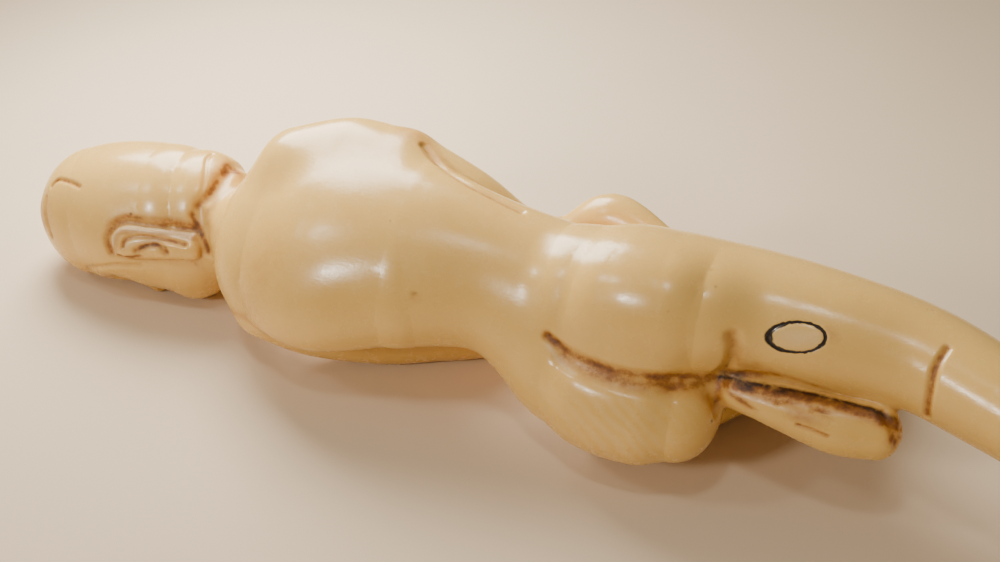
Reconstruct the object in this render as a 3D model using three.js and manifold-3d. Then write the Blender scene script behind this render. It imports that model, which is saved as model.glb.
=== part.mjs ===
// A carved ivory figure of the kind a doctor kept: a woman lying on her left side, cut in one piece.
// Her head is turned to her left until the face looks down, her right arm lies along her side with the hand
// on her hip, her left hand is under her chin, and her left foot is tucked under her right thigh.
// Millimetres, +Z up, +X from head to feet, her back towards -Y.
import * as THREE from "three";
import { mergeVertices } from "three/addons/utils/BufferGeometryUtils.js";
import Module from "manifold-3d";

// Driving dimensions.
const FIGURE_LENGTH = 170;
const ROLL_DEG = 24;

// She is drawn about 178 units long on her own axes: toward her feet, toward her right and toward her back,
// from the middle of her pelvis. Every place and width is a share of her length.
const UNIT = FIGURE_LENGTH / 178.44;
const PELVIS_HEIGHT = 15.2 * UNIT;
const REST_FLAT_DEPTH = 0.35 * UNIT;
const ROLL = THREE.MathUtils.degToRad(ROLL_DEG);
const TO_RIGHT = new THREE.Vector3(0, 1, 0);
const TO_FEET = new THREE.Vector3(1, 0, 0);

// How finely the surface is sampled before it is simplified, over the head and elsewhere, and the faces left.
const CELL = 0.85 * UNIT;
const HEAD_CELL = 0.6 * UNIT;
const MOST_FACES = 9400;
const POINTS_PER_SPAN = 4;

// A station is [toward feet, toward right, toward back, half width, half depth]. The trunk's also say by how
// many degrees it is turned from the pelvis towards lying on its front.
// `resting` gives the place toward the right at which a round limb lies on the ground.
const resting = (feet, back, radius) => [
  feet,
  (radius - (REST_FLAT_DEPTH + PELVIS_HEIGHT) / UNIT - back * Math.sin(ROLL)) / Math.cos(ROLL),
  back,
  radius,
  radius,
];

const HEAD = { feet: -74.5, right: -1.8, back: -9 };
const NECK = -58;
// A station of the head: how far up, forward and to her left of the middle of the head.
const onHead = (up, front, left, halfWidth, halfDepth = halfWidth) => [
  HEAD.feet - up,
  HEAD.right - front,
  HEAD.back + left,
  halfWidth,
  halfDepth,
];

const FORMS = [
  {
    name: "trunk",
    soft: 0,
    stations: [
      [-52, 2.4, -2.5, 8.6, 5.4, 30],
      [-48, 3.2, -1.0, 12.6, 7.2, 30],
      [-40, 3.9, 0.3, 14.8, 8.8, 30],
      [-29, 5.1, 0.5, 12.7, 8.6, 27],
      [-16, 4.8, 0.0, 10.0, 7.6, 16],
      [-6, 2.2, 0.0, 12.2, 8.2, 5],
      [2, 0.8, 0.0, 13.4, 8.6],
      [7, 1.4, -1.0, 12.2, 7.5],
    ],
  },
  {
    name: "right breast",
    soft: 3.5,
    stations: [[-38, 6.2, -7.1, 4.6, 3.6], [-34.5, 6.0, -7.9, 4.6, 3.8]],
  },
  {
    name: "left breast",
    soft: 3.5,
    stations: [[-38, -2.9, -1.2, 4.6, 3.6], [-34.5, -3.7, -2.2, 4.6, 3.8]],
  },
  {
    name: "right buttock",
    soft: 4,
    stations: [
      [-4, 6.8, 2.8, 5.4, 4.6],
      [1, 7.2, 4.2, 7.0, 6.0],
      [7, 7.5, 4.8, 7.1, 6.2],
      [11.5, 7.6, 4.4, 5.6, 5.0],
    ],
  },
  {
    name: "left buttock",
    soft: 4,
    stations: [
      [-5, -5.2, 2.8, 5.4, 4.6],
      [0, -5.8, 4.2, 6.8, 6.0],
      [6, -6.1, 4.6, 6.9, 6.0],
      [10.4, -6.0, 4.2, 5.6, 5.0],
    ],
  },
  {
    name: "right leg",
    soft: 2,
    stations: [
      [3, 7.5, -0.5, 8.0, 8.2],
      [14, 8.6, -0.5, 7.6, 8.0],
      [26, 8.6, 0.0, 7.2, 7.4],
      [37, 8.0, 0.8, 6.4, 6.8],
      [47, 6.0, 4.4, 5.8, 6.2],
      [58, 3.4, 9.2, 5.0, 5.4],
      [70, 0.8, 14.0, 3.2, 3.4],
    ],
  },
  {
    name: "right foot",
    soft: 1.5,
    stations: [
      [72, 0.6, 15.6, 3.2, 3.0],
      [78, 0.2, 15.0, 3.4, 2.6],
      [84, 0.0, 13.8, 3.2, 1.8],
    ],
  },
  {
    name: "left thigh",
    soft: 2,
    stations: [resting(2, -2.5, 7.6), resting(11, -12, 7.3), resting(20, -26, 6.6)],
  },
  {
    name: "left shin",
    soft: 1.2,
    stations: [
      resting(21.5, -26, 6.2),
      [21.5, -0.5, -15, 5.2, 5.2],
      [20.0, -0.5, -5, 4.2, 4.4],
      [18.5, -0.6, 1, 3.2, 3.6],
    ],
  },
  {
    name: "left foot",
    soft: 1.2,
    stations: [
      [16.5, -0.9, 2.6, 2.2, 2.6],
      [23, -1.3, 3.4, 2.9, 2.8],
      [29.5, -1.8, 3.8, 3.5, 2.8],
      [34.3, -1.3, 3.6, 3.5, 2.6],
    ],
  },
  {
    name: "neck",
    soft: 2,
    stations: [
      [-48, 2.0, -2.5, 6.0, 5.4],
      [-62, -0.5, -7.5, 6.0, 5.6],
    ],
  },
  {
    name: "right arm",
    soft: 1.2,
    stations: [
      [-48, 12.4, -4.0, 5.4, 5.2],
      [-41.5, 14.9, -6.5, 5.2, 5.0],
      [-34.3, 15.0, -7.2, 4.8, 5.0],
      [-24.8, 12.4, -7.7, 4.2, 4.4],
      [-17, 9.0, -9.0, 3.6, 3.7],
      [-11.5, 9.2, -12.0, 3.0, 3.0],
      [-5.5, 13.2, -11.4, 3.5, 3.0],
      [2, 11.2, -9.6, 3.1, 2.2],
    ],
  },
  {
    name: "left arm",
    soft: 1.2,
    stations: [
      [-48, -6.0, 1.0, 5.2, 5.2],
      [-42, -7.6, -2.2, 5.4, 5.2],
      resting(-34, -7.2, 4.8),
      resting(-27.5, -10.2, 4.4),
      resting(-22, -13.0, 4.1),
      resting(-18.6, -16.9, 3.7),
      resting(-23, -20.2, 3.5),
      resting(-33, -20.2, 3.2),
      resting(-45, -18.4, 2.6),
      resting(-52, -16.4, 2.8),
      resting(-58, -14.5, 2.3),
    ],
  },
  {
    name: "skull",
    soft: 1.5,
    stations: [
      onHead(-9.5, -3.4, 0.4, 8.8, 8.0),
      onHead(-4.5, -2.0, 0.2, 10.0, 9.2),
      onHead(2, -0.8, 0, 10.2, 9.5),
      onHead(7.5, 0.6, -0.2, 9.7, 8.8),
      onHead(10.0, 1.4, -0.3, 8.0, 6.8),
    ],
  },
  {
    name: "bun",
    soft: 0.4,
    stations: [onHead(8.0, 0.6, 2.2, 6.0, 5.6), onHead(10.7, 0.8, 2.4, 5.2, 5.0)],
  },
  {
    name: "jaw",
    soft: 2.5,
    stations: [onHead(1, 1.4, 0, 8.4, 9.2), onHead(-8.5, 3.4, 0, 6.2, 7.0)],
  },
  {
    name: "chin",
    soft: 2.0,
    stations: [onHead(-9.8, 7.0, -1, 2.2), onHead(-9.8, 7.0, 1, 2.2)],
  },
  {
    name: "nose",
    soft: 0.8,
    stations: [onHead(3.0, 8.7, 0, 0.9), onHead(-0.5, 9.1, 0, 1.0), onHead(-3.0, 9.3, 0, 1.4)],
  },
  {
    name: "mouth",
    soft: 0.6,
    stations: [onHead(-6.0, 8.3, -1.9, 0.9), onHead(-5.8, 9.0, 0, 1.3), onHead(-6.0, 8.3, 1.9, 0.9)],
  },
  ...[1, -1].map((left) => ({
    name: left > 0 ? "left eye" : "right eye",
    soft: 0.4,
    across: TO_FEET,
    stations: [onHead(0.2, 8.3, left * 2.6, 1.1, 1.4), onHead(0.2, 7.6, left * 4.9, 1.0, 1.3)],
  })),
  ...[1, -1].map((left) => ({
    name: left > 0 ? "left ear" : "right ear",
    soft: 0.4,
    stations: [onHead(-2.6, 1.6, left * 9.0, 2.2, 1.1), onHead(-12.4, 0.3, left * 7.7, 1.7, 1.0)],
  })),
];

// A groove runs over the skin through places [toward feet, toward right, toward back].
const GROOVES = [
  {
    name: "cleft",
    width: 0.9,
    depth: 1.6,
    path: [[-6.1, 1.8, 8], [-1.7, 0.1, 9], [4.8, -0.2, 9], [10.4, 0.1, 7], [14.2, 0.8, 4]],
  },
  {
    name: "right gluteal fold",
    width: 0.8,
    depth: 1.0,
    path: [[15.6, 7.2, 7.4], [16.1, 6, 7], [15.8, 3.6, 5.5], [14.3, 0.9, 4]],
  },
  {
    name: "left gluteal fold",
    width: 0.8,
    depth: 0.8,
    path: [[14.2, 0.6, 4], [15.4, -0.5, 4.5], [14.6, -4, 4]],
  },
  {
    name: "knee crease",
    width: 0.5,
    depth: 0.5,
    path: [[39.9, 11.4, 6.8], [39.2, 9.2, 7.9], [39.2, 6.2, 8.2], [39.5, 3, 6.5]],
  },
  {
    name: "right arm crease",
    width: 0.7,
    depth: 0.9,
    path: [
      [-31.2, 18.4, -4.8], [-27.2, 16.9, -2.1], [-23.2, 15.9, -0.5], [-18, 14.7, 0.2], [-14.6, 14.2, 0.4],
    ],
  },
  {
    name: "left arm crease",
    width: 0.6,
    depth: 0.8,
    path: [[-36.5, -9.2, 6.4], [-31.9, -8.0, 5.8], [-24.1, -6.4, 4.6], [-18.1, -5, 3.2]],
  },
  {
    name: "edge of the hair at the nape",
    width: 0.8,
    depth: 0.7,
    path: [
      [-60.5, 0.8, -17.4], [-60.8, 5.8, -15.9], [-60.3, 7.8, -13.7], [-60.6, 9.4, -9], [-60.3, 7.8, -4.3],
      [-60.8, 5.8, -2.1], [-61.8, 4.2, -1], [-60.5, 0.8, -0.6], [-59.4, -1.8, -1],
    ],
  },
  {
    name: "toes",
    width: 0.6,
    depth: 0.5,
    path: [[34.6, 1.2, 4.7], [35.6, 0.1, 5], [36.4, -1.9, 4.3]],
  },
];

// A hollow is [toward feet, toward right, toward back] with a width and a depth.
const HOLLOWS = [
  { name: "right eye socket", at: onHead(0.8, 9.4, -3.6).slice(0, 3), width: 2.4, depth: 1.3 },
  { name: "left eye socket", at: onHead(0.8, 9.4, 3.6).slice(0, 3), width: 2.4, depth: 1.3 },
  { name: "under the lip", at: onHead(-7.7, 9.2, 0).slice(0, 3), width: 1.5, depth: 0.6 },
  { name: "navel", at: [-13, 2.7, -7.2], width: 0.9, depth: 0.9 },
];

// The field's value well outside the figure, and how many widths away a groove or a hollow ends.
const FAR = 8 * UNIT;
const CARVING_REACH = 3;

// The lesser of two distances, rounded over where they differ by less than k.
const smoothMin = (a, b, k) => {
  if (k <= 0) return Math.min(a, b);
  const h = Math.max(k - Math.abs(a - b), 0) / k;
  return Math.min(a, b) - (h * h * k) / 4;
};

// A cubic's value and its slope.
const valueAt = ([a, b, c, d], t) => a + t * (b + t * (c + t * d));
const slopeAt = ([, b, c, d], t) => b + t * (2 * c + 3 * t * d);

// A smooth run through the stations, as a cubic for each of their values over each span.
function spansOf({ stations, across = TO_RIGHT }) {
  const at = (i) => stations[Math.min(Math.max(i, 0), stations.length - 1)];
  return stations.slice(1).map((end, i) => {
    const cubics = end.map((there, k) => {
      const [before, here, after] = [at(i - 1)[k], at(i)[k], at(i + 2)[k]];
      const slopeIn = (there - before) / 2;
      const slopeOut = (after - here) / 2;
      const rise = there - here;
      return [here, slopeIn, 3 * rise - 2 * slopeIn - slopeOut, slopeIn + slopeOut - 2 * rise];
    });
    return { cubics, across, chord: end.slice(0, 3).map((there, k) => there - at(i)[k]) };
  });
}

// How far a place is outside a smooth tapering limb of elliptical section with rounded ends, roughly.
function distanceToSpan({ cubics, across, chord }, x, y, z) {
  const turns = 2;
  const [cx, cy, cz, cw, ch, cturn] = cubics;
  const [ux, uy, uz] = chord;
  const chordSquared = ux * ux + uy * uy + uz * uz;
  let run = ((x - cx[0]) * ux + (y - cy[0]) * uy + (z - cz[0]) * uz) / chordSquared;
  let t = 0;
  let [rx, ry, rz, ax, ay, az, squared] = [0, 0, 0, 0, 0, 0, 1];
  for (let turn = 0; turn <= turns; turn++) {
    t = Math.min(Math.max(t + run, 0), 1);
    rx = x - valueAt(cx, t);
    ry = y - valueAt(cy, t);
    rz = z - valueAt(cz, t);
    ax = slopeAt(cx, t);
    ay = slopeAt(cy, t);
    az = slopeAt(cz, t);
    squared = ax * ax + ay * ay + az * az;
    run = (rx * ax + ry * ay + rz * az) / squared;
  }
  const w = valueAt(cw, t);
  const h = valueAt(ch, t);
  const e = (w + h) / 2;
  // The side is `across`, turned and made square to the limb. What is left of the distance is along the third
  // direction.
  const turned = THREE.MathUtils.degToRad(valueAt(cturn, t));
  const ty = across.y * Math.cos(turned);
  const tz = -across.y * Math.sin(turned);
  const lean = (across.x * ax + ty * ay + tz * az) / squared;
  const [sx, sy, sz] = [across.x - lean * ax, ty - lean * ay, tz - lean * az];
  const offSide = (rx * sx + ry * sy + rz * sz) ** 2 / (sx * sx + sy * sy + sz * sz);
  const past = run * run * squared;
  const offOther = Math.max(rx * rx + ry * ry + rz * rz - offSide - past, 0);
  const [s, o, p] = [offSide / (w * w), offOther / (h * h), past / (e * e)];
  const k = Math.sqrt(s + o + p);
  if (k === 0) return -Math.min(w, h);
  return ((k - 1) * k) / Math.sqrt(s / (w * w) + o / (h * h) + p / (e * e));
}

function preparedForms() {
  return FORMS.map((form) => {
    const stations = form.stations.map(([feet, right, back, width, depth, turn = 0]) => [
      ...[feet, right, back, width, depth].map((value) => value * UNIT),
      turn,
    ]);
    const reach = new THREE.Box3();
    for (const s of stations) {
      const size = Math.max(s[3], s[4]);
      reach.expandByPoint(new THREE.Vector3(s[0] - size, s[1] - size, s[2] - size));
      reach.expandByPoint(new THREE.Vector3(s[0] + size, s[1] + size, s[2] + size));
    }
    return { soft: form.soft * UNIT, spans: spansOf({ stations, across: form.across }), reach };
  });
}

// How far (x, y, z) is from a run of straight lines.
function distanceToPath(path, x, y, z) {
  let best = Infinity;
  for (let i = 0; i + 5 < path.length; i += 3) {
    const [ax, ay, az] = [path[i], path[i + 1], path[i + 2]];
    const [ux, uy, uz] = [path[i + 3] - ax, path[i + 4] - ay, path[i + 5] - az];
    const [px, py, pz] = [x - ax, y - ay, z - az];
    const run = (px * ux + py * uy + pz * uz) / (ux * ux + uy * uy + uz * uz);
    const t = Math.min(Math.max(run, 0), 1);
    best = Math.min(best, (px - t * ux) ** 2 + (py - t * uy) ** 2 + (pz - t * uz) ** 2);
  }
  return Math.sqrt(best);
}

// The body with its grooves, whose paths are first drawn on to the skin.
function carvedField() {
  const body = bodyField();
  const grooves = GROOVES.map((groove) => {
    const curve = new THREE.CatmullRomCurve3(
      groove.path.map((p) => new THREE.Vector3(...p).multiplyScalar(UNIT)),
      false,
      "catmullrom",
      0.5,
    );
    const [width, depth] = [groove.width * UNIT, groove.depth * UNIT];
    const divisions = (groove.path.length - 1) * POINTS_PER_SPAN;
    const points = curve.getPoints(divisions).map((p) => drawnToSurface(body, p));
    const reach = new THREE.Box3().setFromPoints(points).expandByScalar(width * CARVING_REACH);
    return { width, depth, reach, path: points.flatMap((p) => p.toArray()) };
  });
  const hollows = HOLLOWS.map(({ at, width, depth }) => ({
    place: new THREE.Vector3(...at).multiplyScalar(UNIT),
    width: width * UNIT,
    depth: depth * UNIT,
  }));
  const point = new THREE.Vector3();
  return (x, y, z) => {
    let field = body(x, y, z);
    point.set(x, y, z);
    for (const { place, width, depth } of hollows) {
      const apart = point.distanceTo(place) / width;
      if (apart < CARVING_REACH) field += depth * Math.exp(-apart * apart);
    }
    for (const { path, width, depth, reach } of grooves) {
      if (!reach.containsPoint(point)) continue;
      const apart = distanceToPath(path, x, y, z) / width;
      field += depth * Math.exp(-apart * apart);
    }
    return field;
  };
}

function bodyField() {
  const forms = preparedForms();
  const point = new THREE.Vector3();
  return (x, y, z) => {
    let field = FAR;
    point.set(x, y, z);
    for (const form of forms) {
      if (form.reach.distanceToPoint(point) > field + form.soft) continue;
      let own = FAR;
      for (const span of form.spans) own = Math.min(own, distanceToSpan(span, x, y, z));
      field = smoothMin(field, own, form.soft);
    }
    return field;
  };
}

// Grid lines from one end of the figure to the other.
function linesThrough(from, to, cell) {
  const count = Math.ceil((to - from) / cell);
  return Array.from({ length: count + 1 }, (_, i) => from + (i * (to - from)) / count);
}

// A cell's eight corners, its twelve edges as pairs of corners, and for each face the edges round it.
const CORNERS = Array.from({ length: 8 }, (_, c) => [c & 1, (c >> 1) & 1, (c >> 2) & 1]);
const EDGES = CORNERS.flatMap((_, c) => [1, 2, 4].filter((bit) => !(c & bit)).map((bit) => [c, c | bit]));
const FACE_EDGES = [1, 2, 4].flatMap((bit) =>
  [0, bit].map((side) => EDGES.map((_, e) => e).filter((e) => EDGES[e].every((c) => (c & bit) === side))),
);

// The patches of surface in one cell: each of its crossed edges with the number of its patch. On a face that
// the surface crosses twice, the crossings on either side of an inside corner belong together.
function patchesOf(isInside) {
  const patch = EDGES.map(([a, b], e) => (isInside[a] === isInside[b] ? -1 : e));
  const join = (e, f) => {
    const [from, to] = [patch[f], patch[e]];
    patch.forEach((number, n) => {
      if (number === from) patch[n] = to;
    });
  };
  for (const around of FACE_EDGES) {
    const crossed = around.filter((e) => patch[e] >= 0);
    for (const e of crossed)
      for (const f of crossed) {
        const corner = EDGES[e].find((c) => isInside[c]);
        if (crossed.length === 2 || EDGES[f].includes(corner)) join(e, f);
      }
  }
  return patch;
}

// The field's zero surface as a closed mesh: a vertex for each patch of it in each cell, drawn on to the
// surface, and a quad across each grid edge that it crosses.
function meshOfField(field, xs, ys, zs) {
  const [nx, ny, nz] = [xs.length, ys.length, zs.length];
  const at = (i, j, k) => (i * ny + j) * nz + k;
  const values = new Float64Array(nx * ny * nz);
  for (let i = 0; i < nx; i++)
    for (let j = 0; j < ny; j++)
      for (let k = 0; k < nz; k++) values[at(i, j, k)] = field(xs[i], ys[j], zs[k]);

  const vertexOf = new Int32Array(nx * ny * nz * EDGES.length).fill(-1);
  const positions = [];
  for (let i = 0; i < nx - 1; i++)
    for (let j = 0; j < ny - 1; j++)
      for (let k = 0; k < nz - 1; k++) {
        const v = CORNERS.map(([a, b, c]) => values[at(i + a, j + b, k + c)]);
        const isInside = v.map((value) => value < 0);
        if (isInside.every((inside) => inside === isInside[0])) continue;
        const patch = patchesOf(isInside);
        for (const number of new Set(patch)) {
          if (number < 0) continue;
          const middle = new THREE.Vector3();
          let crossings = 0;
          EDGES.forEach(([p, q], e) => {
            if (patch[e] !== number) return;
            const t = v[p] / (v[p] - v[q]);
            const mix = (line, base, n) =>
              line[base + CORNERS[p][n]] * (1 - t) + line[base + CORNERS[q][n]] * t;
            middle.add(new THREE.Vector3(mix(xs, i, 0), mix(ys, j, 1), mix(zs, k, 2)));
            crossings++;
            vertexOf[at(i, j, k) * EDGES.length + e] = positions.length / 3;
          });
          const low = new THREE.Vector3(xs[i], ys[j], zs[k]);
          const high = new THREE.Vector3(xs[i + 1], ys[j + 1], zs[k + 1]);
          positions.push(...drawnToSurface(field, middle.divideScalar(crossings)).clamp(low, high).toArray());
        }
      }

  const indices = [];
  const place = (n) => new THREE.Vector3().fromArray(positions, n * 3);
  const quad = (ring, flip) => {
    const [p, q, r, s] = flip ? ring.reverse() : ring;
    // It is split along its shorter diagonal.
    if (place(p).distanceTo(place(r)) <= place(q).distanceTo(place(s))) indices.push(p, q, r, p, r, s);
    else indices.push(q, r, s, q, s, p);
  };
  // The cells round a grid edge, in turn, for an edge along each axis.
  const ringAlong = [
    [[0, -1, -1], [0, 0, -1], [0, 0, 0], [0, -1, 0]],
    [[-1, 0, -1], [-1, 0, 0], [0, 0, 0], [0, 0, -1]],
    [[-1, -1, 0], [0, -1, 0], [0, 0, 0], [-1, 0, 0]],
  ];
  for (let i = 1; i < nx - 1; i++)
    for (let j = 1; j < ny - 1; j++)
      for (let k = 1; k < nz - 1; k++) {
        const inside = values[at(i, j, k)] < 0;
        const far = [at(i + 1, j, k), at(i, j + 1, k), at(i, j, k + 1)];
        ringAlong.forEach((cells, axis) => {
          if (inside === values[far[axis]] < 0) return;
          const ring = cells.map(([a, b, c]) => {
            const corner = -a | (-b << 1) | (-c << 2);
            const edge = EDGES.findIndex(([p, q]) => p === corner && q === (corner | (1 << axis)));
            return vertexOf[at(i + a, j + b, k + c) * EDGES.length + edge];
          });
          quad(ring, !inside);
        });
      }
  return { positions, indices };
}

// The place on the field's zero surface near a point, by a few steps down the field's slope.
function drawnToSurface(field, point) {
  const steps = 3;
  const e = 0.02 * UNIT;
  const leastSlope = 0.1;
  const p = point.clone();
  for (let step = 0; step < steps; step++) {
    const value = field(p.x, p.y, p.z);
    const slope = new THREE.Vector3(
      field(p.x + e, p.y, p.z) - field(p.x - e, p.y, p.z),
      field(p.x, p.y + e, p.z) - field(p.x, p.y - e, p.z),
      field(p.x, p.y, p.z + e) - field(p.x, p.y, p.z - e),
    ).divideScalar(2 * e);
    p.addScaledVector(slope, -value / Math.max(slope.lengthSq(), leastSlope));
  }
  return p;
}

// Merges the mesh's least telling edges until `target` faces are left. It stays closed and keeps its facing.
function withFewerFaces({ positions, indices }, target) {
  const costOfLength = 1e-4;
  const leastDeterminant = 1e-4;
  const leastCosine = 0.3;
  const leastArea = 1e-3;
  const count = positions.length / 3;
  const place = Array.from({ length: count }, (_, i) => new THREE.Vector3().fromArray(positions, i * 3));
  const faces = [];
  const around = Array.from({ length: count }, () => new Set());
  for (let i = 0; i < indices.length; i += 3) {
    const face = [indices[i], indices[i + 1], indices[i + 2]];
    for (const v of face) around[v].add(faces.length);
    faces.push(face);
  }
  // Each vertex's sum of squared distances to the planes of its faces, weighted by their areas.
  const quadric = Array.from({ length: count }, () => new Float64Array(10));
  const [edgeA, edgeB, normal] = [new THREE.Vector3(), new THREE.Vector3(), new THREE.Vector3()];
  const normalOf = (a, b, c) => normal.crossVectors(edgeA.subVectors(b, a), edgeB.subVectors(c, a));
  for (const [a, b, c] of faces) {
    const n = normalOf(place[a], place[b], place[c]);
    const area = n.length();
    if (area > 0) n.divideScalar(area);
    const plane = [n.x, n.y, n.z, -n.dot(place[a])];
    let slot = 0;
    for (let i = 0; i < 4; i++)
      for (let j = i; j < 4; j++, slot++)
        for (const v of [a, b, c]) quadric[v][slot] += plane[i] * plane[j] * area;
  }
  const errorAt = (q, { x, y, z }) =>
    q[0] * x * x + 2 * q[1] * x * y + 2 * q[2] * x * z + 2 * q[3] * x + q[4] * y * y +
    2 * q[5] * y * z + 2 * q[6] * y + q[7] * z * z + 2 * q[8] * z + q[9];
  const bestPlace = (q, a, b) => {
    const sides = new THREE.Matrix3(q[0], q[1], q[2], q[1], q[4], q[5], q[2], q[5], q[7]);
    const middle = a.clone().lerp(b, 0.5);
    const length = a.distanceTo(b);
    if (Math.abs(sides.determinant()) > leastDeterminant) {
      const p = new THREE.Vector3(-q[3], -q[6], -q[8]).applyMatrix3(sides.invert());
      if (p.distanceTo(middle) < length) return p;
    }
    return [a, b, middle].reduce((best, p) => (errorAt(q, p) < errorAt(q, best) ? p : best)).clone();
  };

  const heap = [];
  const swap = (i, j) => ([heap[i], heap[j]] = [heap[j], heap[i]]);
  const push = (item) => {
    let i = heap.push(item) - 1;
    while (i > 0 && heap[(i - 1) >> 1].cost > heap[i].cost) {
      swap(i, (i - 1) >> 1);
      i = (i - 1) >> 1;
    }
  };
  const pop = () => {
    swap(0, heap.length - 1);
    const item = heap.pop();
    for (let i = 0; ; ) {
      let least = i;
      for (const child of [2 * i + 1, 2 * i + 2])
        if (child < heap.length && heap[child].cost < heap[least].cost) least = child;
      if (least === i) return item;
      swap(i, least);
      i = least;
    }
  };
  const age = new Int32Array(count);
  const offer = (a, b) => {
    const q = quadric[a].map((value, i) => value + quadric[b][i]);
    const to = bestPlace(q, place[a], place[b]);
    const cost = Math.max(errorAt(q, to), 0) + costOfLength * place[a].distanceToSquared(place[b]);
    push({ a, b, to, q, cost, ageA: age[a], ageB: age[b] });
  };
  const neighbours = (v) => {
    const found = new Set();
    for (const f of around[v]) for (const w of faces[f]) if (w !== v) found.add(w);
    return found;
  };
  const turnsOver = (v, other, to) => {
    for (const f of around[v]) {
      if (faces[f].includes(other)) continue;
      const before = normalOf(...faces[f].map((w) => place[w])).clone();
      const after = normalOf(...faces[f].map((w) => (w === v ? to : place[w])));
      const turned = before.dot(after) < leastCosine * before.length() * after.length();
      if (turned || after.length() < leastArea) return true;
    }
    return false;
  };
  for (const [a, b, c] of faces)
    for (const [p, q] of [[a, b], [b, c], [c, a]]) if (p < q) offer(p, q);
  let left = faces.length;
  while (left > target && heap.length) {
    const { a, b, to, q, ageA, ageB } = pop();
    if (age[a] !== ageA || age[b] !== ageB) continue;
    const nearB = neighbours(b);
    const shared = [...neighbours(a)].filter((v) => nearB.has(v));
    if (shared.length !== 2 || turnsOver(a, b, to) || turnsOver(b, a, to)) continue;
    place[a].copy(to);
    quadric[a] = q;
    for (const f of around[b]) {
      if (faces[f].includes(a)) {
        for (const v of faces[f]) if (v !== b) around[v].delete(f);
        faces[f] = null;
        left--;
      } else {
        faces[f] = faces[f].map((v) => (v === b ? a : v));
        around[a].add(f);
      }
    }
    around[b].clear();
    age[b] = -1;
    age[a]++;
    for (const v of neighbours(a)) offer(a, v);
  }
  const kept = faces.filter(Boolean);
  const number = new Map();
  for (const v of kept.flat()) if (!number.has(v)) number.set(v, number.size);
  return {
    positions: [...number.keys()].flatMap((v) => place[v].toArray()),
    indices: kept.flat().map((v) => number.get(v)),
  };
}

const wasm = await Module();
wasm.setup();

// A closed mesh as a solid that can be cut.
function solidOf(geometry) {
  const weld = 1e-4;
  const bare = new THREE.BufferGeometry();
  bare.setAttribute("position", geometry.getAttribute("position"));
  bare.setIndex(geometry.index);
  const merged = mergeVertices(bare, weld);
  return new wasm.Manifold(
    new wasm.Mesh({
      numProp: 3,
      vertProperties: new Float32Array(merged.getAttribute("position").array),
      triVerts: new Uint32Array(merged.index.array),
    }),
  );
}

function geometryOf(solid) {
  const mesh = solid.getMesh();
  const geometry = new THREE.BufferGeometry();
  geometry.setAttribute("position", new THREE.Float32BufferAttribute(mesh.vertProperties, 3));
  geometry.setIndex(new THREE.Uint32BufferAttribute(mesh.triVerts, 1));
  return geometry;
}

function carvedFigure() {
  const reach = new THREE.Box3();
  for (const form of preparedForms()) reach.union(form.reach);
  const { min, max } = reach.expandByScalar(2 * CELL);
  const neck = NECK * UNIT;
  const xs = [...linesThrough(min.x, neck, HEAD_CELL).slice(0, -1), ...linesThrough(neck, max.x, CELL)];
  const ys = linesThrough(min.y, max.y, CELL);
  const zs = linesThrough(min.z, max.z, CELL);
  const fine = meshOfField(carvedField(), xs, ys, zs);
  const { positions, indices } = withFewerFaces(fine, MOST_FACES);
  const geometry = new THREE.BufferGeometry();
  geometry.setAttribute("position", new THREE.Float32BufferAttribute(positions, 3));
  geometry.setIndex(indices);
  // Her right turns from +Y up to near +Z, and her back from +Z down to near -Y.
  geometry.applyMatrix4(
    new THREE.Matrix4().makeBasis(
      new THREE.Vector3(1, 0, 0),
      new THREE.Vector3(0, Math.sin(ROLL), Math.cos(ROLL)),
      new THREE.Vector3(0, -Math.cos(ROLL), Math.sin(ROLL)),
    ),
  );
  geometry.translate(0, 0, PELVIS_HEIGHT);
  // The ground takes small flats off the places that she rests on.
  const ground = new THREE.BoxGeometry(2 * FIGURE_LENGTH, FIGURE_LENGTH, PELVIS_HEIGHT);
  ground.translate(0, 0, -PELVIS_HEIGHT / 2);
  return geometryOf(solidOf(geometry).subtract(solidOf(ground)));
}

const figure = new THREE.Mesh(
  carvedFigure(),
  new THREE.MeshStandardMaterial({ color: 0xe6d3a4, roughness: 0.35, metalness: 0 }),
);
figure.name = "figure";
figure.geometry.computeBoundingBox();
const { min, max } = figure.geometry.boundingBox;
figure.position.set(-(min.x + max.x) / 2, -(min.y + max.y) / 2, -min.z);

const model = new THREE.Group();
model.add(figure);
export default model;
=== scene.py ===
import math
from concurrent.futures import ThreadPoolExecutor

import bpy
import numpy as np
from mathutils import Matrix, Vector


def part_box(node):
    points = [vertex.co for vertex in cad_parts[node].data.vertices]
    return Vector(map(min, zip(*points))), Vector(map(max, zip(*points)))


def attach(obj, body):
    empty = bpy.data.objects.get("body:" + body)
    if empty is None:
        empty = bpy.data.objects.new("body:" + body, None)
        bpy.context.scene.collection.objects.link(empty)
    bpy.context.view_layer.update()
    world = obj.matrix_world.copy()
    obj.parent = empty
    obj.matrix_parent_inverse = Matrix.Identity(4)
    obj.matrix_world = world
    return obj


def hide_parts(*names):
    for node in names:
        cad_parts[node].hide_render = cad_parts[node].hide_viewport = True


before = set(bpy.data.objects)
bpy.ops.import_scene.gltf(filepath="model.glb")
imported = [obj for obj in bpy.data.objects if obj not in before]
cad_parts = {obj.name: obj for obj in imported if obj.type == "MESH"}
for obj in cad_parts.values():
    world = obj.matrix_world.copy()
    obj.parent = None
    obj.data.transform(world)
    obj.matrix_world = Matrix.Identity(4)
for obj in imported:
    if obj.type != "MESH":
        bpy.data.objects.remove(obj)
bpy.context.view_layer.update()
low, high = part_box("figure")

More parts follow.
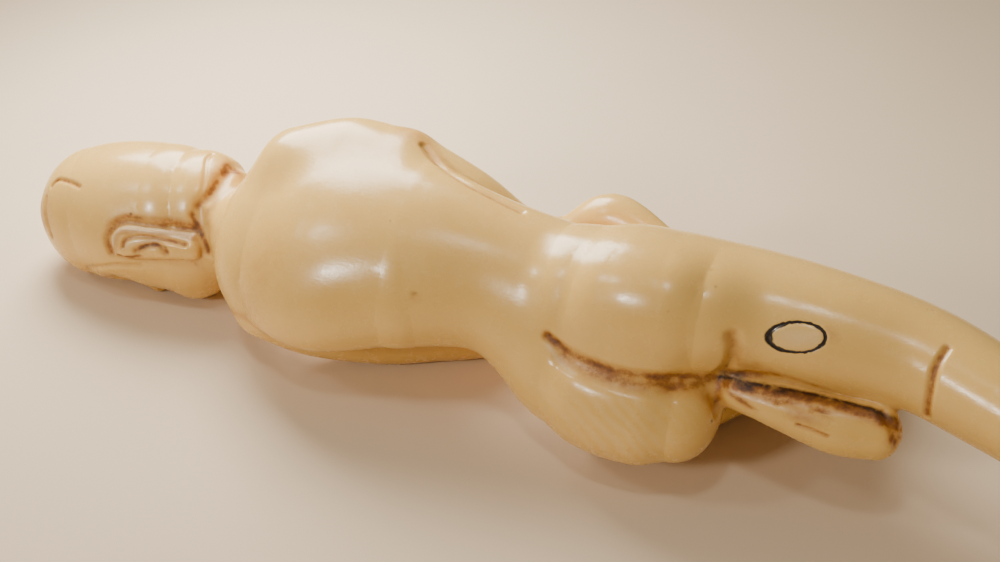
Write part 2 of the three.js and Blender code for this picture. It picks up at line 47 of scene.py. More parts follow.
# She is drawn DRAWN_LENGTH units long on her own axes, toward her feet, toward her right and toward her back.
DRAWN_LENGTH = 178.445
DRAWN_TOP = -91.96
DRAWN_NEAR_SIDE = -17.05
UNIT = (high.x - low.x) / DRAWN_LENGTH
ROLL = math.radians(24)
PELVIS_HEIGHT = 15.2
REST_FLAT_DEPTH = 0.35

# The grid: a cell's side, how many cells a block has along a side, and the room round the figure.
CELL = 0.26
COARSE = 5
MARGIN = 2
# How far from its middle the surface may lie in a block, in blocks outward and inward and in depths of a cut.
BLOCKS_OUTWARD = 1.5
BLOCKS_INWARD = 1.35
CUTS_INWARD = 1.8
MOST_TRIANGLES = 186000
STEPS_PER_SPAN = 6
CLOSEST_TURNS = 2
BATCH = 20000
FAR = 8.0
TINY = 1e-9
# Cuts are worked out only where the plain body's field is below this.
CUT_BELOW = 3
# Forms less soft than CRISP leave a brown crease where they meet, fading over CREASE_WIDTH near the skin.
CRISP = 1.9
CREASE_WIDTH = 0.5
CREASE_BELOW = 0.8
# How many widths away a groove or a stain ends.
REACH = 3
# The corners of a tetrahedron round a place, which together give a field's value and its slope.
ROUND = np.array([(1, 1, 1), (1, -1, -1), (-1, 1, -1), (-1, -1, 1)])

TO_RIGHT = np.array([0.0, 1.0, 0.0])
TO_FEET = np.array([1.0, 0.0, 0.0])
HEAD = np.array([-74.5, -1.8, -9.0])


def on_row(points):
    """Drawn places in the row frame, in metres."""
    u, r, d = np.asarray(points, float).T
    x = low.x + (u - DRAWN_TOP) * UNIT
    y = low.y + (r * math.sin(ROLL) - d * math.cos(ROLL) - DRAWN_NEAR_SIDE) * UNIT
    z = (r * math.cos(ROLL) + d * math.sin(ROLL) + PELVIS_HEIGHT) * UNIT
    return np.stack([x, y, z], 1)


def on_head(up, front, left, *sizes):
    """A place on the head from how far up, forward and to her left it is, with any sizes after it."""
    return (HEAD[0] - up, HEAD[1] - front, HEAD[2] + left, *sizes)


def resting(feet, back, radius):
    """A station of a round limb that lies on the ground."""
    right = (radius - REST_FLAT_DEPTH - PELVIS_HEIGHT - back * math.sin(ROLL)) / math.cos(ROLL)
    return (feet, right, back, radius, radius)


def head_form(soft, *stations, across=TO_RIGHT):
    """A form of the head from stations up, front, left, half width and half depth."""
    return {"soft": soft, "across": across, "stations": [on_head(*s) for s in stations]}


def form(soft, *stations):
    """A form of the body from its stations. Its softness is how widely it runs into the forms before it."""
    return {"soft": soft, "across": TO_RIGHT, "stations": list(stations)}


# A station is toward feet, right and back, half width, half depth, and on the trunk also its turn in degrees.
FORMS = [
    # The trunk.
    form(
        0,
        (-52, 2.4, -2.5, 8.6, 5.4, 30),
        (-48, 3.2, -1.0, 12.6, 7.2, 30),
        (-40, 3.9, 0.3, 14.8, 8.8, 30),
        (-29, 5.1, 0.5, 12.7, 8.6, 27),
        (-16, 4.8, 0.0, 10.0, 7.6, 16),
        (-6, 2.2, 0.0, 12.2, 8.2, 5),
        (2, 0.8, 0.0, 13.4, 8.6),
        (7, 1.4, -1.0, 12.2, 7.5),
    ),
    # The breasts.
    form(3.5, (-38, 6.2, -7.1, 4.6, 3.6), (-34.5, 6.0, -7.9, 4.6, 3.8)),
    form(3.5, (-38, -2.9, -1.2, 4.6, 3.6), (-34.5, -3.7, -2.2, 4.6, 3.8)),
    # The buttocks.
    form(
        4,
        (-4, 6.8, 2.8, 5.4, 4.6),
        (1, 7.2, 4.2, 7.0, 6.0),
        (7, 7.5, 4.8, 7.1, 6.2),
        (11.5, 7.6, 4.4, 5.6, 5.0),
    ),
    form(
        4,
        (-5, -5.2, 2.8, 5.4, 4.6),
        (0, -5.8, 4.2, 6.8, 6.0),
        (6, -6.1, 4.6, 6.9, 6.0),
        (10.4, -6.0, 4.2, 5.6, 5.0),
    ),
    # The right leg and foot.
    form(
        4,
        (3, 7.5, -0.5, 8.0, 8.2),
        (14, 8.6, -0.5, 7.6, 8.0),
        (26, 8.6, 0.0, 7.2, 7.4),
        (37, 8.0, 0.8, 6.4, 6.8),
        (47, 6.0, 4.4, 5.8, 6.2),
        (58, 3.4, 9.2, 5.0, 5.4),
        (70, 0.8, 14.0, 3.2, 3.4),
    ),
    form(1.5, (72, 0.6, 15.6, 3.2, 3.0), (78, 0.2, 15.0, 3.4, 2.6), (84, 0.0, 13.8, 3.2, 1.8)),
    # The left thigh, shin and foot.
    form(2, resting(2, -2.5, 7.6), resting(11, -12, 7.3), resting(20, -26, 6.6)),
    form(
        1.2,
        resting(21.5, -26, 6.2),
        (21.5, -0.5, -15, 5.2, 5.2),
        (20.0, -0.5, -5, 4.2, 4.4),
        (18.5, -0.6, 1, 3.2, 3.6),
    ),
    form(
        1.2,
        (16.5, -0.9, 2.6, 2.2, 2.6),
        (23, -1.3, 3.4, 2.9, 2.8),
        (29.5, -1.8, 3.8, 3.5, 2.8),
        (34.3, -1.3, 3.6, 3.5, 2.6),
    ),
    # The neck.
    form(2, (-48, 2.0, -2.5, 6.0, 5.4), (-62, -0.5, -7.5, 6.0, 5.6)),
    # The right upper arm, which runs smoothly into the back.
    form(4, (-48, 12.4, -4.0, 5.4, 5.2), (-41.5, 14.9, -6.5, 5.2, 5.0), (-34.3, 15.0, -7.2, 4.8, 5.0)),
    # The right forearm, with the hand on the hip.
    form(
        1.2,
        (-34.3, 15.0, -7.2, 4.8, 5.0),
        (-24.8, 12.4, -7.7, 4.2, 4.4),
        (-17, 9.0, -9.0, 3.6, 3.7),
        (-11.5, 9.2, -12.0, 3.0, 3.0),
        (-5.5, 13.2, -11.4, 3.5, 3.0),
        (2, 11.2, -9.6, 3.1, 2.2),
    ),
    # The left arm, with the hand under the chin.
    form(
        1.2,
        (-48, -6.0, 1.0, 5.2, 5.2),
        (-42, -7.6, -2.2, 5.4, 5.2),
        resting(-34, -7.2, 4.8),
        resting(-27.5, -10.2, 4.4),
        resting(-22, -13.0, 4.1),
        resting(-18.6, -16.9, 3.7),
        resting(-23, -20.2, 3.5),
        resting(-33, -20.2, 3.2),
        resting(-45, -18.4, 2.6),
        resting(-52, -16.4, 2.8),
        resting(-58, -14.5, 2.3),
    ),
    # The skull.
    head_form(
        1.5,
        (-9.5, -3.4, 0.4, 8.8, 8.0),
        (-4.5, -2.0, 0.2, 10.0, 9.2),
        (2, -0.8, 0, 10.2, 9.5),
        (7.5, 0.6, -0.2, 9.7, 8.8),
        (10.0, 1.4, -0.3, 8.0, 6.8),
    ),
    # The bun.
    head_form(0.4, (8.0, 0.6, 2.2, 6.0, 5.6), (10.7, 0.8, 2.4, 5.2, 5.0)),
    # The jaw and the chin.
    head_form(2.5, (1, 1.4, 0, 8.4, 9.2), (-8.5, 3.4, 0, 6.2, 7.0)),
    head_form(2.0, (-9.8, 7.0, -1, 2.2, 2.2), (-9.8, 7.0, 1, 2.2, 2.2)),
    # The brows.
    head_form(1.2, (2.6, 8.6, 1.6, 0.7, 0.7), (3.3, 8.3, 3.8, 0.8, 0.8), (2.4, 7.0, 6.2, 0.7, 0.7)),
    head_form(1.2, (2.6, 8.6, -1.6, 0.7, 0.7), (3.3, 8.3, -3.8, 0.8, 0.8), (2.4, 7.0, -6.2, 0.7, 0.7)),
    # The nose with its wings.
    head_form(0.9, (3.2, 8.6, 0, 0.9, 0.9), (-0.5, 9.1, 0, 0.9, 0.9), (-2.9, 9.4, 0, 1.25, 1.25)),
    head_form(0.5, (-3.2, 8.9, 1.0, 0.8, 0.8), (-3.3, 8.6, 1.5, 0.6, 0.6)),
    head_form(0.5, (-3.2, 8.9, -1.0, 0.8, 0.8), (-3.3, 8.6, -1.5, 0.6, 0.6)),
    # The lips.
    head_form(
        0.4,
        (-5.5, 8.4, -2.1, 0.5, 0.5),
        (-5.3, 9.1, -0.7, 0.7, 0.7),
        (-5.5, 9.1, 0, 0.65, 0.65),
        (-5.3, 9.1, 0.7, 0.7, 0.7),
        (-5.5, 8.4, 2.1, 0.5, 0.5),
    ),
    head_form(0.4, (-6.5, 8.3, -1.7, 0.5, 0.5), (-6.8, 8.95, 0, 0.85, 0.85), (-6.5, 8.3, 1.7, 0.5, 0.5)),
    # The closed eyes.
    head_form(0.4, (0.2, 8.3, 2.6, 1.1, 1.4), (0.2, 7.6, 4.9, 1.0, 1.3), across=TO_FEET),
    head_form(0.4, (0.2, 8.3, -2.6, 1.1, 1.4), (0.2, 7.6, -4.9, 1.0, 1.3), across=TO_FEET),
    # The ears.
    head_form(0.4, (-2.6, 1.6, 9.0, 2.2, 1.1), (-12.4, 0.3, 7.7, 1.7, 1.0)),
    head_form(0.4, (-2.6, 1.6, -9.0, 2.2, 1.1), (-12.4, 0.3, -7.7, 1.7, 1.0)),
]

CLEFT = [(-6.2, 1.5, 7.7), (-2.9, 0.1, 8.3), (1.5, -0.3, 9), (5.8, -0.3, 8.8), (9.6, 0, 7.2), (14, 0.8, 3.6)]
BELOW_CLEFT = [(-3.5, -0.5, 8.3), (0.7, -1.0, 9.1), (4.8, -1.2, 9.3), (8.8, -1.0, 8.2), (13.2, -0.3, 5)]
FAR_ARM_CREASE = [
    (-31.2, 18.3, -4.9),
    (-27.5, 16.9, -3),
    (-23.3, 15.8, -1),
    (-18.4, 14.8, -0.2),
    (-14.6, 14.2, 0.4),
]

# A groove is its width, its depth, how brown it is and its path over the skin. A depth below zero is a ridge.
GROOVES = [
    # The cleft, sharp under the right buttock and easy on the left one, and the folds below the buttocks.
    (0.45, 1.5, 1.0, CLEFT),
    # The brown of the wide groove below the cleft is painted shade.
    (1.3, 1.0, 0.4, BELOW_CLEFT),
    (0.8, 1.0, 0.5, [(15.6, 7.2, 7.4), (16.1, 6, 7), (15.8, 3.6, 5.5), (14.3, 0.9, 4)]),
    (0.8, 0.8, 0.5, [(14.2, 0.6, 4), (15.4, -0.5, 4.5), (14.6, -4, 4)]),
    # The knee crease.
    (0.4, 0.6, 1.0, [(39.9, 11.4, 6.8), (39.2, 9.2, 7.9), (39.2, 6.2, 8.2), (39.5, 3, 6.5)]),
    # The creases between the arms and the back.
    (0.5, 0.9, 0.3, FAR_ARM_CREASE),
    (0.5, 0.8, 0.4, [(-36.5, -9.2, 6.4), (-31.9, -8.0, 5.8), (-24.1, -6.4, 4.6), (-18.1, -5, 3.2)]),
    # The edge of the hair at the nape.
    (
        0.8,
        0.7,
        0.35,
        [
            (-60.5, 0.8, -17.4),
            (-60.8, 5.8, -15.9),
            (-60.3, 7.8, -13.7),
            (-60.6, 9.4, -9),
            (-60.3, 7.8, -4.3),
            (-60.8, 5.8, -2.1),
            (-61.8, 4.2, -1),
            (-60.5, 0.8, -0.6),
            (-59.4, -1.8, -1),
        ],
    ),
    (0.3, 0.3, 0.25, [(-64.2, 10.3, -7.8), (-63.9, 9.7, -5.9), (-62.7, 8.0, -3.7), (-62.1, 5.0, -2.4)]),
    # The left foot: across the ball, then between the toes.
    (0.5, 0.6, 0.9, [(34.6, 1.2, 4.7), (35.6, 0.1, 5), (36.4, -1.9, 4.3)]),
    (0.25, 0.4, 0.7, [(35.6, 0.2, 5), (37.4, 0.0, 4.2)]),
    (0.25, 0.4, 0.7, [(35.9, -0.9, 4.9), (37.7, -1.1, 4.0)]),
    (0.25, 0.4, 0.5, [(36.2, -2.1, 4.5), (37.8, -2.4, 3.6)]),
    # Two lines cut in the sole.
    (0.22, 0.25, 0.9, [(25.4, -2.0, 6.3), (27.2, -2.1, 6.5), (29.2, -2.4, 6.5)]),
    (0.22, 0.2, 0.7, [(22.5, -0.3, 5.9), (23.6, 0.3, 5.7)]),
    (0.22, 0.2, 0.8, [(26.7, -0.1, 6.1), (27.5, 0.4, 5.7)]),
    # The bun's edge.
    (0.3, 0.4, 0.8, [(-87.0, 1.3, -2.6), (-85.9, 2.5, -2.5), (-83.2, 2.8, -1.7), (-81.2, 2.7, -1.0)]),
    (0.35, 0.35, 0.5, [(-87.6, -0.5, -2.2), (-87.2, -2.4, -1.8), (-86.4, -4.5, -1.7), (-85.9, -5.9, -2.0)]),
]


def both_sides(width, depth, brown, path):
    """The same groove on the left and the right of the head, from places up, front and left."""
    for side in (1, -1):
        GROOVES.append((width, depth, brown, [on_head(up, front, side * left) for up, front, left in path]))


# The ear: behind it, its rim, inside the rim, its bowl and below its start.
EAR_BACK = [
    (-0.3, 3.4, 9.0),
    (0.2, 1.0, 9.6),
    (-1.8, -1.4, 9.5),
    (-5.3, -1.9, 9.3),
    (-9.0, -2.2, 8.5),
    (-13.0, -2.5, 7.9),
]
EAR_RIM = [
    (-1.4, 3.0, 9.3),
    (-1.0, 1.1, 9.7),
    (-2.3, -0.5, 9.6),
    (-5.3, -0.9, 9.3),
    (-8.8, -1.2, 8.6),
    (-12.4, -1.5, 8.1),
]
EAR_INSIDE = [(-2.6, 2.0, 9.8), (-2.9, 0.9, 9.9), (-4.7, 0, 9.6), (-7.7, -0.3, 9.1), (-11.7, -0.2, 8.6)]
EAR_BOWL = [(-4.6, 2.1, 9.6), (-6.1, 1.1, 9.5), (-7.7, 0.7, 9.3), (-9.0, 1.4, 9.0)]
EAR_START = [(-1.4, 3.8, 9.1), (-3.5, 3.5, 9.4), (-5.1, 2.9, 9.3)]
LOBE_CREASE = [(-11.9, -4.5, 7.8), (-13.1, -2.7, 7.7), (-14.3, -0.9, 7.6), (-14.7, 0.2, 7.4)]
# The brown along the groove behind the ear is painted shade in the recess there.
both_sides(0.5, 0.8, 0.8, EAR_BACK)
both_sides(0.45, -0.4, 0, EAR_RIM)
both_sides(0.3, 0.5, 0.75, EAR_INSIDE)
both_sides(0.42, 0.9, 1.0, EAR_BOWL)
both_sides(0.3, 0.35, 0.9, EAR_START)
both_sides(0.45, 0.5, 1.0, LOBE_CREASE)
# The face: the line of the lids, the fold above it, the nostrils with their wings, and the mouth's line.
both_sides(0.2, 0.35, 0.5, [(-0.3, 9.6, 1.5), (-0.8, 9.7, 2.9), (-0.8, 9.2, 4.3), (-0.1, 8.3, 5.6)])
both_sides(0.25, 0.3, 0.2, [(1.2, 9.3, 1.7), (1.7, 9.4, 3.2), (1.5, 8.9, 4.7), (0.7, 8.0, 5.9)])
both_sides(0.3, 0.4, 0.5, [(-3.9, 9.6, 0.55), (-3.8, 9.3, 0.9)])
both_sides(0.3, 0.3, 0.2, [(-2.4, 8.6, 1.9), (-3.2, 8.6, 2.1), (-3.8, 8.6, 1.9)])
MOUTH_LINE = [(-5.9, 8.6, -2.4), (-6.1, 9.6, -0.9), (-5.95, 9.7, 0), (-6.1, 9.6, 0.9), (-5.9, 8.6, 2.4)]
GROOVES.append((0.22, 0.4, 0.6, [on_head(*p) for p in MOUTH_LINE]))
# The hairline round the face.
HAIRLINE = [
    (7.2, 9.0, 0),
    (6.9, 8.7, 2.6),
    (5.4, 7.6, 5.6),
    (2.0, 6.3, 7.5),
    (-1.5, 5.2, 8.2),
    (-4.5, 4.8, 8.2),
]
both_sides(0.4, 0.35, 0.25, HAIRLINE)


def finger_lines(width, depth, brown, middle, across, outward, offsets):
    """Grooves along a hand or a foot, side by side, on its outward side."""
    for offset in offsets:
        path = [tuple(np.array(p) + offset * np.array(across) + np.array(outward)) for p in middle]
        GROOVES.append((width, depth, brown, path))


# The fingers of the right hand, the fingers of the left hand, and the toes of the right foot above and below.
finger_lines(
    0.28,
    0.5,
    0.3,
    [(-3.0, 13.1, -11.2), (0.5, 12.0, -10.2), (4.6, 10.4, -9.2)],
    (0, 0.65, 0.76),
    (0, 2.3, -1.9),
    (-1.5, 0, 1.5),
)
finger_lines(
    0.25,
    0.45,
    0.3,
    [resting(-52, -16, 2.8)[:3], resting(-56, -15.1, 2.5)[:3], resting(-60.4, -14.2, 2.0)[:3]],
    (0.2, -0.41, 0.9),
    (0, 2.4, 1.0),
    (-1.3, 0, 1.3),
)
for outward in ((0, 0, -2.2), (0, 0, 2.2)):
    finger_lines(
        0.22,
        0.4,
        0.3,
        [(82.2, 0.1, 14.2), (86.6, 0.0, 13.4)],
        (0.25, 0.97, 0),
        outward,
        (-2.0, -1.0, 0.0, 1.1),
    )

# A hollow is a place, its width and its depth: the eye sockets, under and over the lips, and the navel.
HOLLOWS = [
    (on_head(0.8, 9.4, -3.6), 2.4, 1.3),
    (on_head(0.8, 9.4, 3.6), 2.4, 1.3),
    (on_head(-8.0, 9.2, 0), 1.3, 0.6),
    (on_head(-4.6, 9.6, 0), 0.4, 0.25),
    ((-13, 2.7, -7.2), 0.9, 0.9),
]

# The incised ring on the thigh: its middle and its two half axes.
RING_MIDDLE = np.array([23.3, 8.6, 7.4])
RING_LONG = np.array([3.2, 0.8, -0.1])
RING_SHORT = np.array([-0.35, 1.8, 0.0])
RING_POINTS = [
    tuple(RING_MIDDLE + math.cos(turn) * RING_LONG + math.sin(turn) * RING_SHORT)
    for turn in np.linspace(0, 2 * math.pi, 25)
]
GROOVES.append((0.2, 0.18, 0, RING_POINTS))

# Strokes of stain, painted shade and painted highlight: whether dark, pale or brown, how strong, how wide and
# the path.
STAINS_AND_PAINTED_LIGHT = [
    # The cleft, the folds and the ends of the buttocks.
    ("brown", 1.0, 0.7, CLEFT),
    # The broad brown below the cleft is painted shade, and the pale stroke at its start is a painted
    # highlight.
    ("brown", 0.75, 1.2, BELOW_CLEFT),
    ("pale", 0.9, 0.28, [(-5.9, 0.3, 8.1), (-3.9, -1.1, 8.8), (-1.9, -1.9, 9.5)]),
    ("brown", 0.9, 0.8, [(13.2, 0.2, 4.8), (14.4, 0.2, 3.8), (15.2, -0.8, 4.2), (15.2, -2.5, 3.9)]),
    ("brown", 0.5, 1.3, [(13.0, -1.2, 5.4), (14.0, -3.2, 4.8)]),
    ("dark", 0.6, 0.2, [(15.9, 4.2, 5.8), (15.2, 2.2, 4.2), (14.4, 1.0, 3.6)]),
    ("brown", 0.5, 1.3, [(16.6, 5.4, 6.8), (17.4, 3.6, 5.6), (19.0, 3.0, 5.2)]),
    # The smudges on the thigh above the foot.
    ("dark", 0.7, 0.7, [(15.2, 1.3, 3.8), (17.4, 1.4, 4.4)]),
    ("brown", 0.85, 0.9, [(15.7, 1.9, 4.0), (18.0, 1.9, 4.4), (21.6, 2.6, 4.4)]),
    ("brown", 0.5, 0.6, [(19.5, 3.0, 4.8), (24.0, 2.6, 4.4), (27.0, 2.3, 4.4)]),
    # The dark band between the thigh and the foot.
    (
        "dark",
        1.0,
        0.4,
        [(14.6, 0.6, 3.4), (18, 0.8, 4.6), (21.4, 1.2, 4.6), (27.9, 1.6, 4.5), (34.6, 1.4, 4.9)],
    ),
    ("brown", 1.0, 0.9, [(15.6, 0, 4.4), (18, 0.3, 5), (21.4, 0.7, 5.1), (27.9, 1.1, 5.1), (34.6, 1.0, 5.3)]),
    ("dark", 0.9, 0.6, [(17.8, 0.4, 5.0), (18.9, 0.5, 5.0)]),
    ("dark", 0.8, 0.5, [(21.4, 1.0, 4.8), (22.8, 1.1, 4.8)]),
    ("dark", 0.7, 0.5, [(26.0, 1.3, 4.7), (27.2, 1.3, 4.7)]),
    ("brown", 0.55, 0.6, [(19.5, -0.2, 5.6), (22.5, 0, 5.8), (25.0, 0.4, 5.8), (28, 0.5, 5.8)]),
    # The foot.
    ("brown", 0.45, 1.2, [(25.0, -0.6, 6.3), (27.6, -1.0, 6.3)]),
    ("brown", 1.0, 0.35, [(27.4, 0.2, 6.0), (28.0, 0.1, 6.0)]),
    ("brown", 0.9, 0.28, [(28.7, -0.2, 6.2), (29.2, -0.3, 6.2)]),
    ("brown", 0.8, 0.45, [(16.5, -0.6, 5.0), (18.2, -1.2, 5.4), (19.8, -1.7, 5.7)]),
    ("brown", 0.95, 0.8, [(34.7, 0.8, 5.5), (36.3, 0.4, 4.8), (36.2, -1.1, 5.1)]),
    ("dark", 0.6, 0.45, [(34.6, 1.3, 4.9), (36.6, 0.8, 4.2)]),
    # The nape.
    ("brown", 1.0, 1.0, [(-60.2, 9.8, -8.4), (-61.0, 8.5, -6.2)]),
    ("brown", 0.95, 0.65, [(-61.1, 7.2, -4.3), (-61.6, 5.3, -2.7), (-62.3, 3.9, -1.7)]),
    ("brown", 0.4, 1.7, [(-61.8, 9.8, -8.0), (-61.8, 7.4, -4.6)]),
    # The ear.
    # The brown stroke behind the ear and the dark spots in it are painted shade in the recess there.
    ("brown", 0.75, 0.75, [(-74.1, -1.2, 0.8), (-71.5, 0.3, 0.5), (-66.8, 0.9, -0.2), (-61.4, 0.9, -1.2)]),
    ("dark", 0.45, 0.4, [(-70.7, 0.6, 0.4), (-69.8, 0.7, 0.4)]),
    ("dark", 0.6, 0.45, [(-61.9, 0.8, -1.1), (-61.0, 0.2, -1.3)]),
    ("brown", 0.9, 0.55, [(-62.0, 1.8, -1.2), (-60.2, -0.9, -1.4), (-59.8, -2.0, -1.6)]),
    ("dark", 0.7, 0.25, [(-69.4, -3.6, 0.6), (-68.4, -2.9, 0.5), (-66.8, -2.5, 0.3), (-65.7, -3.0, 0.2)]),
    ("pale", 1.0, 0.45, [on_head(*place) for place in EAR_RIM]),
    ("pale", 0.8, 0.35, [(-71.6, -3.6, 0.9), (-70.0, -2.6, 0.7), (-66.8, -1.9, 0.2)]),
    # The bun.
    ("brown", 0.5, 0.6, [(-87.4, -1.8, -2.0), (-86.4, -4.5, -1.7), (-85.9, -5.9, -2.0)]),
    # The creases beside the arms.
    ("brown", 0.6, 0.25, FAR_ARM_CREASE),
    ("brown", 0.6, 0.35, [(-29.0, -7.6, 5.6), (-24.1, -6.4, 4.6), (-18.1, -5, 3.2)]),
    # Beside the ring, and the bare ivory inside it.
    ("brown", 0.45, 0.6, [(26.9, 10.4, 7.2), (27.5, 9.4, 7.3)]),
    ("pale", 0.6, 1.1, [(21.6, 8.2, 7.4), (25.0, 9.1, 7.4)]),
    # A yellow tinge on the shoulder, and the halo of the largest pit.
    ("brown", 0.16, 5.0, [(-45.7, 1.9, 9.1), (-47.2, -2.4, 8.9)]),
    ("brown", 0.35, 0.8, [(-24.0, 2.5, 9.2), (-23.8, 2.4, 9.2)]),
]
# Single pits filled with dirt: their width and their place.
PITS = [
    (0.28, (-24.1, 2.9, 9.2)),
    (0.16, (-36.7, 6.1, 9.5)),
    (0.18, (-31.2, 6.4, 9.4)),
    (0.16, (-29.4, 6.3, 9.3)),
    (0.16, (-27.7, 13.7, 4.7)),
    (0.14, (-25.9, 12.6, 5.5)),
]
# Where pores lie close together: how strongly, how far round and the place.
SPECKLED = [
    (1.0, 1.6, (-25.9, 3.2, 9.0)),
    (0.9, 1.8, (13.0, 12.2, 7.4)),
    (0.6, 2.2, (17.5, 2.5, 6.0)),
    (0.5, 3.0, (-10, 8, 7.6)),
]
# Where the growth lines show, given in the same way.
GRAINED = (1.0, 7.5, (4.5, -8.0, 9.0))


def cubics(points):
    """For each span of a smooth run through points, the four coefficients of its cubic."""
    last = len(points) - 1
    spans = []
    for i in range(last):
        before, here = points[max(i - 1, 0)], points[i]
        there, after = points[i + 1], points[min(i + 2, last)]
        slope_in = (there - before) / 2
        slope_out = (after - here) / 2
        # A limb's sizes stay level at its two ends, where its rounded caps begin.
        if i == 0:
            slope_in[3:] = 0
        if i == last - 1:
            slope_out[3:] = 0
        square = 3 * (there - here) - 2 * slope_in - slope_out
        cube = 2 * (here - there) + slope_in + slope_out
        spans.append((here, slope_in, square, cube))
    return spans


def at_share(span, n, t):
    """Value n of a span's cubic at shares t along it."""
    a, b, c, d = span
    return a[n] + t * (b[n] + t * (c[n] + t * d[n]))


def distance_to_span(span, across, turning, p):
    """How far points are outside one smooth tapering elliptical limb with rounded ends, to first order."""
    a, b, c, d = span
    chord = (b + c + d)[:3]
    t = ((p[0] - a[0]) * chord[0] + (p[1] - a[1]) * chord[1] + (p[2] - a[2]) * chord[2]) / (chord @ chord)
    t = np.clip(t, 0, 1)
    for turn in range(CLOSEST_TURNS + 1):
        rel = [p[n] - at_share(span, n, t) for n in range(3)]
        along = [b[n] + t * (2 * c[n] + 3 * t * d[n]) for n in range(3)]
        squared = along[0] ** 2 + along[1] ** 2 + along[2] ** 2
        run = (rel[0] * along[0] + rel[1] * along[1] + rel[2] * along[2]) / squared
        if turn < CLOSEST_TURNS:
            t = np.clip(t + run, 0, 1)
    half_width = at_share(span, 3, t)
    half_depth = at_share(span, 4, t)
    cap = (half_width + half_depth) / 2
    # The side is across, turned and made square to the limb, and the other direction is square to both.
    turned = np.radians(at_share(span, 5, t)) if turning else 0.0
    turned_across = [across[0], across[1] * np.cos(turned), -across[1] * np.sin(turned)]
    lean = (turned_across[0] * along[0] + turned_across[1] * along[1] + turned_across[2] * along[2]) / squared
    side = [turned_across[n] - lean * along[n] for n in range(3)]
    side_length = np.sqrt(side[0] ** 2 + side[1] ** 2 + side[2] ** 2)
    off_side = (rel[0] * side[0] + rel[1] * side[1] + rel[2] * side[2]) / side_length
    past = run * np.sqrt(squared)
    total = rel[0] ** 2 + rel[1] ** 2 + rel[2] ** 2
    off_other = np.maximum(total - off_side**2 - past**2, 0)
    # The distance as a share of the limb's own size in each direction, and how fast that share grows.
    sideways = (off_side / half_width) ** 2
    other = off_other / half_depth**2
    endways = (past / cap) ** 2
    share = np.sqrt(sideways + other + endways) + TINY
    slope = np.sqrt(sideways / half_width**2 + other / half_depth**2 + endways / cap**2) / share
    return (share - 1) / np.maximum(slope, TINY)


def prepare(shape):
    """The form's spans and the box that holds it."""
    stations = np.zeros((len(shape["stations"]), 6))
    for station, values in zip(stations, shape["stations"]):
        station[: len(values)] = values
    size = stations[:, 3:5].max(1)[:, None]
    shape["low"] = (stations[:, :3] - size).min(0)
    shape["high"] = (stations[:, :3] + size).max(0)
    shape["spans"] = cubics(stations)
    shape["turning"] = stations[:, 5].any()


for shape in FORMS:
    prepare(shape)


def body_part(p, creases=None):
    """The plain body's field at a batch of points. Given zeros, it fills them where crisp forms meet."""
    field = np.full(len(p), FAR)
    lowest, highest = p.min(0), p.max(0)
    for shape in FORMS:
        gap = np.maximum(np.maximum(shape["low"] - highest, lowest - shape["high"]), 0)
        if gap @ gap > FAR**2:
            continue
        apart = np.maximum(np.maximum(shape["low"] - p, p - shape["high"]), 0)
        near = np.nonzero((apart**2).sum(1) <= (np.maximum(field, 0) + shape["soft"]) ** 2)[0]
        if not len(near):
            continue
        columns = np.ascontiguousarray(p[near].T)
        own = np.full(len(near), FAR)
        for span in shape["spans"]:
            own = np.minimum(own, distance_to_span(span, shape["across"], shape["turning"], columns))
        least = np.minimum(field[near], own)
        difference = np.abs(field[near] - own)
        if creases is not None and 0 < shape["soft"] < CRISP:
            meeting = np.exp(-((difference / CREASE_WIDTH) ** 2)) * (least < CREASE_BELOW)
            creases[near] = np.maximum(creases[near], meeting)
        if shape["soft"] > 0:
            overlap = np.maximum(shape["soft"] - difference, 0) / shape["soft"]
            least = least - overlap**2 * shape["soft"] / 4
        field[near] = least
    return field


def in_batches(field, p):
    """A field at many points, worked out a batch at a time."""
    count = max(1, len(p) // BATCH)
    with ThreadPoolExecutor() as workers:
        return np.concatenate(list(workers.map(field, np.array_split(p, count))))


def body(p):
    return in_batches(body_part, p)


def value_and_slope(field, p, e=0.02):
    """The field's value and its gradient at points."""
    samples = np.stack([field(p + e * corner) for corner in ROUND])
    return samples.mean(0), samples.T @ ROUND / (4 * e)


def drawn_to_surface(field, p, steps=3):
    """The places on the field's zero surface near points."""
    for _ in range(steps):
        value, slope = value_and_slope(field, p)
        p = p - slope * (value / np.maximum((slope**2).sum(1), 0.1))[:, None]
    return p


def smooth_path(path, field):
    """A smooth curve through a path's points, drawn on to a field's surface."""
    points = np.array(path, float)
    shares = np.arange(STEPS_PER_SPAN) / STEPS_PER_SPAN
    run = [[at_share(span, n, t) for n in range(3)] for span in cubics(points) for t in shares]
    return drawn_to_surface(field, np.array([*run, points[-1]]))


def distance_to_path(path, p):
    best = np.full(len(p), np.inf)
    for start, end in zip(path, path[1:]):
        along = end - start
        t = np.clip((p - start) @ along / max(along @ along, TINY), 0, 1)
        best = np.minimum(best, ((p - start - t[:, None] * along) ** 2).sum(1))
    return np.sqrt(best)


def stroke(width, path, field):
    """A smooth line on a field's surface, with the box that holds all that it reaches."""
    line = smooth_path(path, field)
    reach = REACH * width
    return {"width": width, "line": line, "low": line.min(0) - reach, "high": line.max(0) + reach}


def fading(stroke, p):
    """How near points are to a stroke: 1 on it, and fading to 0 beyond its width."""
    share = np.zeros(len(p))
    if not len(p) or (p.max(0) < stroke["low"]).any() or (p.min(0) > stroke["high"]).any():
        return share
    near = np.nonzero(((p > stroke["low"]) & (p < stroke["high"])).all(1))[0]
    share[near] = np.exp(-((distance_to_path(stroke["line"], p[near]) / stroke["width"]) ** 2))
    return share


CARVED = [{**stroke(width, path, body_part), "depth": depth} for width, depth, _, path in GROOVES]


